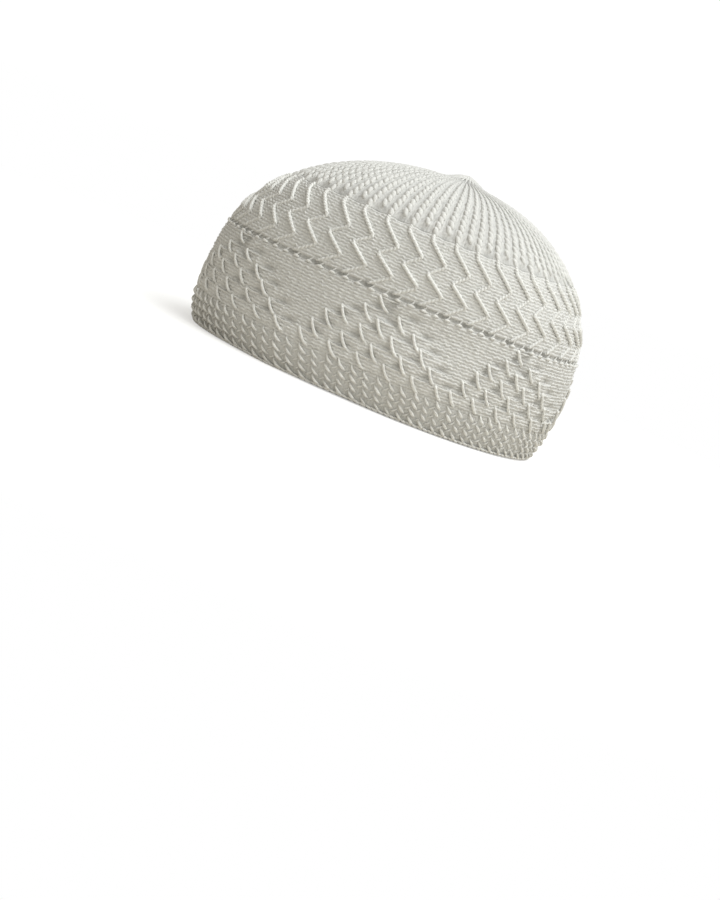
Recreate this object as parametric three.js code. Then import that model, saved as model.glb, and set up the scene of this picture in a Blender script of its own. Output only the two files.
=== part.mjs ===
import * as THREE from 'three';

// A close-fitting skull cap, knitted in one piece from thick white cotton yarn. From the rim up it has
// a thick moss-stitch rim band, a plain band with seven stepped triangles, a level ridge line, a band of
// zigzag ropes, and a crown whose ribs run together in a small gathered knot.
// Millimetres. +Z is up, -Y is the forehead, +X is the wearer's left, and the origin is on the rim
// plane, under the middle of the outline.

// The outline
const capLength = 191;
const capWidth = 151;
const crownHeight = 114.2;
const crownAxisBack = 8.5;    // the ribs meet this far behind the middle of the cap
const widestHeight = 34;
const clothThickness = 2.4;

// The outline on each side of the head. dome is the exponent of the curve from the widest height up to
// the crown, 2 for an ellipse and more for a fuller one. rimTuck is the share of the reach by which the
// rim is drawn in, and tuckPower says how late the drawing in starts. zigzagShare is how much of the
// cloth above the ridge line the zigzag band takes.
const sides = {
  front: { dome: 2.04, rimTuck: 0.04, tuckPower: 6.0, zigzagShare: 0.29 },
  side: { dome: 2.8, rimTuck: 0.07, tuckPower: 3.0, zigzagShare: 0.302 },
  back: { dome: 2.2, rimTuck: 0.07, tuckPower: 2.2, zigzagShare: 0.324 },
};

// Heights of the level bands above the rim plane
const rimBandTop = 15;
const triangleBandTop = 52;
const ridgeLineTop = 54.5;

// The knitting: columns of stitches, called wales, in seven repeats of one triangle each
const repeats = 7;
const walesPerRepeat = 24;
const wales = repeats * walesPerRepeat;
const walesPerRope = 4;
const walesPerRib = 2;
const triangleApexWale = 38;
const ropeFootWale = triangleApexWale - walesPerRope / 2;
const rimColumns = wales / walesPerRib;

// The worn cloth is stretched unevenly round the head: waves of stretch move the wales by up to this many
// wales, forwards beside the forehead and back over the temples
const stretchWaves = 3;
const stretchWales = 0.75;

// The rows of cells in a triangle, from its apex down: how many cells, where the first one is from the
// apex and how far apart they are, both in wales, and how far up the band their tops are. From a cell's
// top a lip runs back along the row by lipReach wales, and a strand leans back by strandLean on its way
// down to strandDrop, a share of the band
const cellRows = [
  { cells: 1, first: 0.5, apart: 0, top: 0.985 },
  { cells: 2, first: -1.2, apart: 5.2, top: 0.815 },
  { cells: 3, first: -3.7, apart: 5.3, top: 0.69 },
  { cells: 4, first: -5.5, apart: 4.8, top: 0.555 },
  { cells: 5, first: -6.9, apart: 4.5, top: 0.38 },
  { cells: 6, first: -8.2, apart: 4.3, top: 0.21 },
];
const lipReach = 2.4;
const lipDrop = 0.03;
const strandLean = 1;
const strandDrop = 0.1;

// Relief of the stitches over the middle of the cloth
const rimBulge = 0.7;
const rimEdgeSetBack = 0.3;
const strandRise = 0.8;
const ridgeDotRise = 0.4;
const ridgeGroove = 0.5;
const ropeHoleDepth = 1.1;
const leftRopeRise = 0.9;
const rightRopeRise = 0.5;
const ribRise = 0.45;
const pocketDepth = 0.8;
const crownStepBack = 0.6;

// The gathered knot where the ribs meet
const knotRise = 2.6;
const knotRadius = 8;

// A zigzag rope going up: how far up the band each bend is, and how many wales it has moved back
const ropeBends = [
  { up: 0.0, shift: 0.0 },
  { up: 0.21, shift: 2.95 },
  { up: 0.44, shift: -0.55 },
  { up: 0.62, shift: 1.8 },
  { up: 0.9, shift: -1.75 },
  { up: 1.0, shift: -2.0 },
];
const ropeTopShift = ropeBends[ropeBends.length - 1].shift;

// Soft swells and hollows of the worn cloth on the wearer's left side: where the middle is,
// how far each reaches fore-and-aft and up-and-down, and how far it stands out
const softForms = [
  { back: 21, height: 27, halfWidth: 17, halfHeight: 10, rise: 1.9 },
  { back: 14, height: 45, halfWidth: 26, halfHeight: 6, rise: -0.9 },
  { back: -4, height: 13, halfWidth: 12, halfHeight: 12, rise: -1.0 },
  { back: -45, height: 10, halfWidth: 12, halfHeight: 14, rise: 0.9 },
];

// The inner face is plain, so it needs fewer points
const innerColumns = 42;
const outlineSamples = 360;
const meridianSamples = 160;
const facingStep = 0.5;

const whiteCotton = new THREE.MeshStandardMaterial({ color: 0xdcdcd4, roughness: 0.95, metalness: 0 });

// The value of one outline property at an angle round the crown axis: 0 is the front, a quarter turn
// is the wearer's left, and the squared cosine blends one side into the next
function outlineValue(name, angle) {
  const ahead = Math.cos(angle);
  const front = ahead > 0 ? ahead ** 2 : 0;
  const back = ahead < 0 ? ahead ** 2 : 0;
  return sides.front[name] * front + sides.back[name] * back + sides.side[name] * (1 - front - back);
}

// The widest outline from above: two half ellipses that meet at the crown axis
function outlineReach(angle, inset) {
  const ahead = Math.cos(angle);
  const reach = capLength / 2 + (ahead > 0 ? crownAxisBack : -crownAxisBack);
  return { x: (capWidth / 2 - inset) * Math.sin(angle), y: -(reach - inset) * ahead };
}

// Where a wale lies on the stretched cloth, counted in wales of even width
function stretched(wale) {
  return wale - stretchWales * Math.sin((2 * Math.PI * stretchWaves * wale) / wales);
}

// The angles of evenly counted wales, which share out the outline's length
function waleAngles(count) {
  const lengths = [0];
  let last = outlineReach(0, 0);
  for (let i = 1; i <= outlineSamples; i++) {
    const next = outlineReach((2 * Math.PI * i) / outlineSamples, 0);
    lengths.push(lengths[i - 1] + Math.hypot(next.x - last.x, next.y - last.y));
    last = next;
  }
  const angles = [];
  let i = 0;
  for (let column = 0; column < count; column++) {
    const target = (lengths[outlineSamples] * stretched((wales * column) / count)) / wales;
    while (lengths[i + 1] < target) i++;
    const part = (target - lengths[i]) / (lengths[i + 1] - lengths[i]);
    angles.push((2 * Math.PI * (i + part)) / outlineSamples);
  }
  return angles;
}

// The curve of the cloth from the rim to the crown at one angle: share is the reach as a share of the
// widest outline, and length is measured along the cloth
function meridian(angle, inset) {
  const reach = Math.hypot(outlineReach(angle, inset).x, outlineReach(angle, inset).y);
  const dome = outlineValue('dome', angle);
  const domeHeight = crownHeight - inset - widestHeight;
  const points = [];
  for (let i = 0; i < meridianSamples; i++) {
    const height = (widestHeight * i) / meridianSamples;
    const below = (1 - height / widestHeight) ** outlineValue('tuckPower', angle);
    points.push({ share: 1 - outlineValue('rimTuck', angle) * below, height });
  }
  for (let i = 0; i <= meridianSamples; i++) {
    const turn = (Math.PI / 2) * (i / meridianSamples);
    const share = Math.max(0, Math.cos(turn)) ** (2 / dome);
    points.push({ share, height: widestHeight + domeHeight * Math.sin(turn) ** (2 / dome) });
  }
  points[0].length = 0;
  for (let i = 1; i < points.length; i++) {
    const step = Math.hypot(
      reach * (points[i].share - points[i - 1].share),
      points[i].height - points[i - 1].height,
    );
    points[i].length = points[i - 1].length + step;
  }
  return points;
}

// A value of the curve where another of its values, which only grows, reaches a target
function lookUp(points, along, target, wanted) {
  let i = 0;
  while (i < points.length - 2 && points[i + 1][along] < target) i++;
  const part = (target - points[i][along]) / (points[i + 1][along] - points[i][along]);
  return points[i][wanted] + (points[i + 1][wanted] - points[i][wanted]) * part;
}

// How far along the cloth each band starts and ends at one angle
function bandLengths(points, angle) {
  const rim = lookUp(points, 'height', rimBandTop, 'length');
  const triangles = lookUp(points, 'height', triangleBandTop, 'length');
  const ridge = lookUp(points, 'height', ridgeLineTop, 'length');
  const total = points[points.length - 1].length;
  const zigzag = ridge + outlineValue('zigzagShare', angle) * (total - ridge);
  return {
    rim: [0, rim],
    triangles: [rim, triangles],
    ridge: [triangles, ridge],
    zigzag: [ridge, zigzag],
    crown: [zigzag, total],
  };
}

// How far the swells and hollows of the cloth move a point outwards
function softRise(x, y, z) {
  if (x <= 0) return 0;
  return softForms.reduce((sum, form) => {
    const across = (y - form.back) / form.halfWidth;
    const up = (z - form.height) / form.halfHeight;
    return sum + form.rise * Math.exp(-(across ** 2) - up ** 2);
  }, 0);
}

// The knot lifts the cloth close to the crown axis
function knotLift(distance) {
  return knotRise * Math.exp(-((distance / knotRadius) ** 2));
}

// The direction in which the upright outline faces at an angle, as seen from above
function outlineFacing(angle) {
  const ahead = outlineReach(angle + 0.01, 0);
  const behind = outlineReach(angle - 0.01, 0);
  return new THREE.Vector2(ahead.y - behind.y, behind.x - ahead.x).normalize();
}

// The direction in which the cloth faces at a length along its curve: across the climb of the curve,
// and up by as much as the curve runs inwards there
function clothFacing(points, length, outline, across) {
  const lower = Math.max(0, length - facingStep);
  const upper = Math.min(points[points.length - 1].length, length + facingStep);
  const climb = lookUp(points, 'length', upper, 'height') - lookUp(points, 'length', lower, 'height');
  const gain = lookUp(points, 'length', upper, 'share') - lookUp(points, 'length', lower, 'share');
  const run = gain * (outline.x * across.x + outline.y * across.y);
  return new THREE.Vector3(across.x * climb, across.y * climb, -run).normalize();
}

// One ring of points round the cap: band and up say where it runs, and relief(wale) how far out of the
// cloth it stands. A level ring stays at one height, as the flat foot of the rim does
function ringPoints(ring, inset) {
  return waleAngles(ring.columns).map((angle, column) => {
    const points = meridian(angle, inset);
    const [start, end] = bandLengths(points, angle)[ring.band];
    const length = start + (end - start) * ring.up;
    const share = lookUp(points, 'length', length, 'share');
    const outline = outlineReach(angle, inset);
    const x = outline.x * share;
    const y = outline.y * share + crownAxisBack;
    const z = lookUp(points, 'length', length, 'height');

    const across = outlineFacing(angle);
    const facing = ring.level
      ? new THREE.Vector3(across.x, across.y, 0)
      : clothFacing(points, length, outline, across);
    const relief = ring.relief((column * wales) / ring.columns) + softRise(x, y, z);
    const lift = knotLift(Math.hypot(x, y - crownAxisBack));
    return new THREE.Vector3(x, y, z + lift).addScaledVector(facing, relief);
  });
}

// The place of a wale in its repeat, counted from the triangle's apex, from -12 up to 12
function fromApex(wale) {
  const half = walesPerRepeat / 2;
  return ((wale - triangleApexWale + half + wales) % walesPerRepeat) - half;
}

// Whether a wale is close to one of the cells in a row of a triangle
function inCell(wale, { cells, first, apart }, reach) {
  const place = fromApex(wale);
  for (let cell = 0; cell < cells; cell++) {
    if (Math.abs(place - first - cell * apart) <= reach) return true;
  }
  return false;
}

// How far a wale is from the nearest rope, where the ropes have moved by shift wales
function fromRope(wale, shift) {
  const turn = (wale - ropeFootWale - shift + wales) % walesPerRope;
  return Math.min(turn, walesPerRope - turn);
}

// The rope's relief at a height in its band: a rounded ridge, high where it leans left and low where
// it leans right
function ropeRelief(up) {
  const next = Math.max(1, ropeBends.findIndex((bend) => bend.up >= up));
  const [from, to] = [ropeBends[next - 1], ropeBends[next]];
  const part = (up - from.up) / (to.up - from.up);
  const shift = from.shift + (to.shift - from.shift) * part;
  const rise = to.shift < from.shift ? leftRopeRise : rightRopeRise;
  return (wale) => rise * Math.max(0, 1 - fromRope(wale, shift) ** 2);
}

// Rings of the rim band: a flat foot, a rounded edge and a thick roll
const rimRings = [
  { up: 0, rise: -rimEdgeSetBack },
  { up: 0.09, rise: 0.35 },
  { up: 0.3, rise: rimBulge },
  { up: 0.65, rise: rimBulge },
  { up: 0.94, rise: 0.45 },
].map(({ up, rise }) => ({ band: 'rim', up, columns: rimColumns, relief: () => rise, level: up === 0 }));

// Two rings for each row of cells: the strand that leans across the row, and the lip along its top
const triangleRings = [];
cellRows.toReversed().forEach((row) => {
  const strand = (wale) => (inCell(wale - strandLean, row, 0.5) ? strandRise : 0);
  const lip = (wale) => (inCell(wale - lipReach / 2, row, lipReach / 2) ? strandRise : -0.1);
  triangleRings.push({ band: 'triangles', up: row.top - strandDrop, columns: wales, relief: strand });
  triangleRings.push({ band: 'triangles', up: row.top - lipDrop, columns: wales, relief: lip });
});

// The ridge line: a row of dots, and over it a groove that deepens to a hole at the foot of each rope
const ridgeRings = [
  { band: 'ridge', up: 0, columns: wales, relief: (wale) => (wale % walesPerRib === 0 ? ridgeDotRise : 0) },
  {
    band: 'ridge',
    up: 0.55,
    columns: wales,
    relief: (wale) => (fromRope(wale, 0) < 1 ? -ropeHoleDepth : -ridgeGroove),
  },
];

const zigzagRings = [0.02, 0.115, 0.21, 0.325, 0.44, 0.53, 0.62, 0.76, 0.9].map((up) => ({
  band: 'zigzag',
  up,
  columns: wales,
  relief: ropeRelief(up),
}));

// The crown: pockets between the ropes, then the ribs, which lie lower as they crowd together
const ribAt = (wale) => ((wale - ropeFootWale + wales) % walesPerRib === 0 ? 1 : -1);
const pocketAt = (wale) => (fromRope(wale, ropeTopShift + walesPerRope / 2) < 1 ? -pocketDepth : 0);
const crownRings = [
  { up: 0.035, relief: pocketAt },
  { up: 0.16, relief: (wale) => ribRise * ribAt(wale) - crownStepBack },
  { up: 0.34, relief: (wale) => ribRise * ribAt(wale) - crownStepBack },
  { up: 0.53, relief: (wale) => 0.8 * ribRise * ribAt(wale) - crownStepBack },
  { up: 0.7, relief: (wale) => 0.6 * ribRise * ribAt(wale) - crownStepBack },
  { up: 0.82, relief: () => -crownStepBack, columns: wales / 2 },
  { up: 0.9, relief: () => -crownStepBack, columns: wales / 2 },
  { up: 0.945, relief: () => -crownStepBack / 2, columns: wales / 4 },
  { up: 0.975, relief: () => 0, columns: wales / 4 },
].map((ring) => ({ band: 'crown', columns: wales, ...ring }));

const outerRings = [...rimRings, ...triangleRings, ...ridgeRings, ...zigzagRings, ...crownRings];

const innerRings = [
  { band: 'rim', up: 0, level: true },
  { band: 'rim', up: 0.6 },
  { band: 'triangles', up: 0.2 },
  { band: 'triangles', up: 0.7 },
  { band: 'zigzag', up: 0.1 },
  { band: 'zigzag', up: 0.9 },
  { band: 'crown', up: 0.25 },
  { band: 'crown', up: 0.5 },
  { band: 'crown', up: 0.75 },
  { band: 'crown', up: 0.92 },
].map((ring) => ({ ...ring, columns: innerColumns, relief: () => 0 }));

// Triangles between two rings, which may have different numbers of points: each step goes on along
// the ring that is behind. lower and upper are lists of point numbers
function stitch(lower, upper, faces) {
  let i = 0;
  let j = 0;
  while (i < lower.length || j < upper.length) {
    const a = lower[i % lower.length];
    const b = upper[j % upper.length];
    const goLower = j === upper.length
      || (i < lower.length && (i + 1) / lower.length <= (j + 1) / upper.length);
    if (goLower) {
      faces.push(a, lower[(i + 1) % lower.length], b);
      i++;
    } else {
      faces.push(a, upper[(j + 1) % upper.length], b);
      j++;
    }
  }
}

// A fan that closes a ring at the crown
function closeCrown(ring, top, faces) {
  ring.forEach((point, i) => faces.push(point, ring[(i + 1) % ring.length], top));
}

function knittedCapGeometry() {
  const positions = [];
  const addPoint = (point) => positions.push(point.x, point.y, point.z) / 3 - 1;
  const outer = outerRings.map((ring) => ringPoints(ring, 0).map(addPoint));
  const inner = innerRings.map((ring) => ringPoints(ring, clothThickness).map(addPoint));
  const outerTop = addPoint(new THREE.Vector3(0, crownAxisBack, crownHeight + knotRise));
  const innerTop = addPoint(new THREE.Vector3(0, crownAxisBack, crownHeight - clothThickness + knotRise));

  const faces = [];
  for (let i = 1; i < outer.length; i++) stitch(outer[i - 1], outer[i], faces);
  closeCrown(outer[outer.length - 1], outerTop, faces);

  const innerFaces = [];
  for (let i = 1; i < inner.length; i++) stitch(inner[i - 1], inner[i], innerFaces);
  closeCrown(inner[inner.length - 1], innerTop, innerFaces);
  stitch(outer[0], inner[0], innerFaces);
  for (let i = 0; i < innerFaces.length; i += 3) {
    faces.push(innerFaces[i], innerFaces[i + 2], innerFaces[i + 1]);
  }

  const geometry = new THREE.BufferGeometry();
  geometry.setAttribute('position', new THREE.Float32BufferAttribute(positions, 3));
  geometry.setIndex(faces);
  geometry.computeVertexNormals();
  return geometry;
}

const knittedCap = new THREE.Mesh(knittedCapGeometry(), whiteCotton);
knittedCap.name = 'knitted_cap';

const cap = new THREE.Group();
cap.add(knittedCap);

export default cap;
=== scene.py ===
# %% [markdown]
# # A white knitted skull cap
# This lesson dresses a plain solid of a close-fitting cap in its real knitting. The cap is one piece of
# thick white cotton knit: a rolled rim in moss stitch, a band of purl cloth with stepped triangles, a
# level ridge line, a band of zigzag ropes, and a crown whose ribs run together in a small gathered knot.
# Every stitch is placed by two numbers on one curved sheet, so the bands follow each other without gaps.

import math

import bpy
import numpy as np
from mathutils import Matrix, Vector


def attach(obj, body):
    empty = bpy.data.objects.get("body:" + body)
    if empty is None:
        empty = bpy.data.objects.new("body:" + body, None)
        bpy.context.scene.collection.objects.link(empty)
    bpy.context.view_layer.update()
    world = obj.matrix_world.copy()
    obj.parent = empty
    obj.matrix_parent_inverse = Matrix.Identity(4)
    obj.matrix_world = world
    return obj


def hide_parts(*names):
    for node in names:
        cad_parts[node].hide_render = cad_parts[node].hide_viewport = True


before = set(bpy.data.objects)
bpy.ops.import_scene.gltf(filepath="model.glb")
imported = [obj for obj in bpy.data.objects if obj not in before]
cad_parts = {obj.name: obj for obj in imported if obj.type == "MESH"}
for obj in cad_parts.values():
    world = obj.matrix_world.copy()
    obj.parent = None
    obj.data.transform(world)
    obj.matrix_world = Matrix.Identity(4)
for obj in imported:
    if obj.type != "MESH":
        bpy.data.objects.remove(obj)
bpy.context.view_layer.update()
MM = 0.001

# %% [markdown]
# The shape of the cap comes first, in millimetres. A cap has no straight edges. It could be sculpted, but
# here its outline is a formula, so that each stitch can be placed by number: two half ellipses seen from
# above, and seen from the side a curve that is drawn in at the rim, widest a third of the way up, and
# rounded towards the crown. The front, sides and back have their own values.

# %% Sizes of the cap in millimetres
CAP_LENGTH = 191.0
CAP_WIDTH = 151.0
CROWN_HEIGHT = 114.2
CROWN_AXIS_BACK = 8.5
WIDEST_HEIGHT = 34.0
CLOTH_THICKNESS = 2.4
KNOT_RISE = 2.6
KNOT_RADIUS = 8.0

# dome is the power of the curve over the crown, where 2 gives an ellipse. rim_tuck is the share of the
# width that the rim is drawn in by. zigzag_share is a share of the cloth from the ridge line to the knot
SIDES = {
    "front": {"dome": 2.04, "rim_tuck": 0.052, "tuck_power": 5.0, "zigzag_share": 0.29},
    "side": {"dome": 2.8, "rim_tuck": 0.07, "tuck_power": 3.0, "zigzag_share": 0.302},
    "back": {"dome": 2.2, "rim_tuck": 0.07, "tuck_power": 2.2, "zigzag_share": 0.324},
}

RIM_BAND_TOP = 15.0
TRIANGLE_BAND_TOP = 52.0
RIDGE_LINE_TOP = 54.5

# Swells and hollows of the worn cloth on the wearer's left side, in millimetres
SOFT_FORMS = [
    {"back": 21, "height": 27, "half_width": 17, "half_height": 10, "rise": 1.9},
    {"back": 14, "height": 45, "half_width": 26, "half_height": 6, "rise": -0.9},
    {"back": -4, "height": 13, "half_width": 12, "half_height": 12, "rise": -1.0},
    {"back": -45, "height": 10, "half_width": 12, "half_height": 14, "rise": 0.9},
]

# %% The counts of the knitting
# Wales, the columns of stitches, are counted from the middle of the front towards the wearer's left.
# Courses are its rows. APEX_WALE is the apex of the first triangle
REPEATS = 7
WALES_PER_REPEAT = 24
WALES = REPEATS * WALES_PER_REPEAT
WALES_PER_ROPE = 4
WALES_PER_RIB = 2
APEX_WALE = 38
ROPE_FOOT_WALE = APEX_WALE - WALES_PER_ROPE / 2
TRIANGLE_COURSES = 24
ZIGZAG_COURSES = 22
# The worn cloth is stretched unevenly: waves of stretch round the cap, which move the wales by up to this
STRETCH_WAVES = 3
STRETCH_WALES = 0.75
print("wales round the cap:", WALES, " ropes:", WALES // WALES_PER_ROPE, " ribs:", WALES // WALES_PER_RIB)


# %% The outline as functions of the angle
OUTLINE_STEPS = 7200


def bell(*distances):
    """A soft bump: 1 in its middle, and fading as e to the power of minus the squared distances."""
    return np.exp(-sum(np.square(distance) for distance in distances))


def side_value(name, angle):
    """A value that changes round the cap: front, side and back shared out by the angle's squared cosine."""
    ahead = np.cos(angle)
    front = np.where(ahead > 0, ahead**2, 0.0)
    back = np.where(ahead < 0, ahead**2, 0.0)
    sides = 1.0 - front - back
    return SIDES["front"][name] * front + SIDES["side"][name] * sides + SIDES["back"][name] * back


def outline_reach(angle):
    """The widest outline from above: two half ellipses that meet at the crown axis."""
    ahead = np.cos(angle)
    reach = CAP_LENGTH / 2 + np.where(ahead > 0, CROWN_AXIS_BACK, -CROWN_AXIS_BACK)
    return CAP_WIDTH / 2 * np.sin(angle), -reach * ahead


def wale_angle(wale):
    """The angle of a wale: wales share out the outline's length, and a slow wave stretches them."""
    turn = np.linspace(0, 2 * np.pi, OUTLINE_STEPS + 1)
    x, y = outline_reach(turn)
    length = np.concatenate([[0], np.cumsum(np.hypot(np.diff(x), np.diff(y)))])
    stretched = wale - STRETCH_WALES * np.sin(2 * np.pi * STRETCH_WAVES * wale / WALES)
    return np.interp(stretched / WALES * length[-1], length, turn)


# %% [markdown]
# A stitch asks the same question thousands of times: where is the cloth at this wale and this height,
# and which way does it face? The answers are worked out once on a fine table and then read from it with
# whole arrays. Heights are counted in bands: 0 to 1 is the rim, 1 to 2 the triangles, 2 to 3 the ridge
# line, 3 to 4 the zigzag and 4 to 5 the crown, so a pattern keeps its place when a size changes.

# %% The cloth as a table of points and facings
TABLE_COLUMNS = 504
# Rows of the table in each band, from the rim to the crown
TABLE_ROWS = [18, 40, 8, 40, 90]
CURVE_STEPS = 400
BAND_COUNT = len(TABLE_ROWS)


def read_curves(rulers, targets, values):
    """Reads many rising curves at once: each curve is laid after the last on one long ruler."""
    shift = (rulers.max() + 1.0) * np.arange(len(rulers))[:, None]
    found = np.interp((targets + shift).ravel(), (rulers + shift).ravel(), values.ravel())
    return found.reshape(targets.shape)


def unit(vectors):
    """Each vector divided by its length."""
    return vectors / np.maximum(np.linalg.norm(vectors, axis=-1, keepdims=True), 1e-9)


def facing(points):
    """The outward direction of a closed ring of columns: across the step round times the step up."""
    around = np.roll(points[:-1], -1, axis=0) - np.roll(points[:-1], 1, axis=0)
    around = np.concatenate([around, around[:1]])
    up = np.gradient(points, axis=1)
    out = unit(np.cross(around, up))
    out[:, -1] = (0, 0, 1)
    return out


def cloth_table():
    """Points and facings by column and row: curves from rim to crown, cut into bands by their length."""
    wale = np.arange(TABLE_COLUMNS + 1) * WALES / TABLE_COLUMNS
    angle = wale_angle(wale)[:, None]
    x, y = outline_reach(angle)
    dome = side_value("dome", angle)

    low = np.linspace(0, 1, CURVE_STEPS)[None, :]
    share_low = 1 - side_value("rim_tuck", angle) * (1 - low) ** side_value("tuck_power", angle)
    turn = np.linspace(0, np.pi / 2, CURVE_STEPS)[None, 1:]
    share_high = np.cos(turn).clip(0) ** (2 / dome)
    height_high = WIDEST_HEIGHT + (CROWN_HEIGHT - WIDEST_HEIGHT) * np.sin(turn) ** (2 / dome)
    share = np.concatenate([share_low, share_high], axis=1)
    height = np.concatenate([WIDEST_HEIGHT * low + 0 * angle, height_high], axis=1)
    steps = np.hypot(np.hypot(x, y) * np.diff(share, axis=1), np.diff(height, axis=1))
    length = np.concatenate([0 * angle, np.cumsum(steps, axis=1)], axis=1)

    level = np.array([[RIM_BAND_TOP, TRIANGLE_BAND_TOP, RIDGE_LINE_TOP]]) + 0 * angle
    edges = read_curves(height, level, length)
    total = length[:, -1:]
    zigzag = edges[:, 2:] + side_value("zigzag_share", angle) * (total - edges[:, 2:])
    edges = np.concatenate([0 * angle, edges, zigzag, total], axis=1)

    ups = [band + np.arange(rows) / rows for band, rows in enumerate(TABLE_ROWS)]
    ups = np.concatenate(ups + [[BAND_COUNT]])
    lengths = np.stack([np.interp(ups, np.arange(BAND_COUNT + 1), edge) for edge in edges])
    share = read_curves(length, lengths, share)
    height = read_curves(length, lengths, height)
    points = np.stack([x * share, y * share + CROWN_AXIS_BACK, height], axis=-1)
    axis_gap = np.hypot(points[..., 0], points[..., 1] - CROWN_AXIS_BACK)
    points[..., 2] += KNOT_RISE * bell(axis_gap / KNOT_RADIUS)
    points += facing(points) * soft_rise(points)[..., None]
    return ups, points, facing(points), edges


def soft_rise(points):
    """How far the swells and hollows move a point: the sum of round bumps that fade with distance."""
    rise = np.zeros(points.shape[:-1])
    for form in SOFT_FORMS:
        across = (points[..., 1] - form["back"]) / form["half_width"]
        up = (points[..., 2] - form["height"]) / form["half_height"]
        rise += form["rise"] * bell(across, up)
    return np.where(points[..., 0] > 0, rise, 0.0)


ROW_UPS, CLOTH_POINTS, CLOTH_FACINGS, BAND_EDGES = cloth_table()
BAND_LENGTHS = np.diff(BAND_EDGES, axis=1).mean(axis=0)
print("mean band lengths in mm:", np.round(BAND_LENGTHS, 1).tolist())


def cloth(wale, up):
    """Point and facing at a wale and height: the four nearest entries of the table, mixed by closeness."""
    column = np.mod(wale, WALES) * TABLE_COLUMNS / WALES
    row = np.interp(up, ROW_UPS, np.arange(len(ROW_UPS)))
    column, row = np.broadcast_arrays(column, row)
    left = np.minimum(column.astype(int), TABLE_COLUMNS - 1)
    lower = np.minimum(row.astype(int), len(ROW_UPS) - 2)
    across = (column - left)[..., None]
    above = (row - lower)[..., None]

    def mix(table):
        below_mix = table[left, lower] * (1 - across) + table[left + 1, lower] * across
        above_mix = table[left, lower + 1] * (1 - across) + table[left + 1, lower + 1] * across
        return below_mix * (1 - above) + above_mix * above

    return mix(CLOTH_POINTS), unit(mix(CLOTH_FACINGS))


def place(wale, up, out):
    """The cloth's point moved outwards, and never lower than the surface that the rim rests on."""
    points, out_way = cloth(wale, up)
    points = points + out_way * np.asarray(out)[..., None]
    points[..., 2] = np.maximum(points[..., 2], 0.0)
    return points


# %% [markdown]
# Blender takes a mesh as flat arrays: corner points, the point numbers of each face, and where each face
# starts. Filling them with foreach_set is hundreds of times quicker than adding faces one by one, and
# these pieces have more than half a million faces between them.


# %% Make one piece of the cap from arrays
def add_object(name, data):
    """A new object in the scene, at the origin."""
    added = bpy.data.objects.new(name, data)
    bpy.context.scene.collection.objects.link(added)
    return added


def make_piece(name, points, quads, triangles, quad_uv, triangle_uv, relief, material, flat_edges=False):
    """A smooth mesh object in metres that rides on the cap's body. relief is each point's height in mm.
    Flat edges keep the narrow faces that close a piece of cloth from shading the face beside them."""
    mesh = bpy.data.meshes.new(name)
    corners = np.concatenate([quads.ravel(), triangles.ravel()]).astype(np.int32)
    sizes = np.concatenate([np.full(len(quads), 4), np.full(len(triangles), 3)])
    starts = np.concatenate([[0], np.cumsum(sizes)[:-1]]).astype(np.int32)
    mesh.vertices.add(len(points))
    mesh.vertices.foreach_set("co", (points * MM).astype(np.float32).ravel())
    mesh.loops.add(len(corners))
    mesh.loops.foreach_set("vertex_index", corners)
    mesh.polygons.add(len(sizes))
    mesh.polygons.foreach_set("loop_start", starts)
    mesh.polygons.foreach_set("use_smooth", (sizes == 4) | (not flat_edges))
    mesh.update(calc_edges=True)
    uv = np.concatenate([quad_uv.reshape(-1, 2), triangle_uv.reshape(-1, 2)])
    mesh.uv_layers.new(name="knit").data.foreach_set("uv", uv.astype(np.float32).ravel())
    # The relief also sets the painted shade in the hollows and the painted light on the crests
    mesh.attributes.new("relief", "FLOAT", "POINT").data.foreach_set("value", relief.astype(np.float32))
    mesh.materials.append(material)
    piece = add_object(name, mesh)
    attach(piece, "root")
    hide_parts("knitted_cap")
    print(name, "triangles:", 2 * len(quads) + len(triangles))
    return piece


# %% [markdown]
# Much of the knitting is yarn that lies on top of the cloth. Each length of yarn is a soft tube along a
# short path, thinner at its two ends where it dives into the cloth. Blender's curves could make it too,
# but they know nothing of the way that the cloth faces. One function makes hundreds of yarns together:
# it takes all the paths as one array and needs no loop over the stitches.

# %% Yarn as closed tubes along many paths
# How far the tip of a yarn lies past its last ring, as a share of the yarn's radius
TIP_REACH = 0.7


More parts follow.
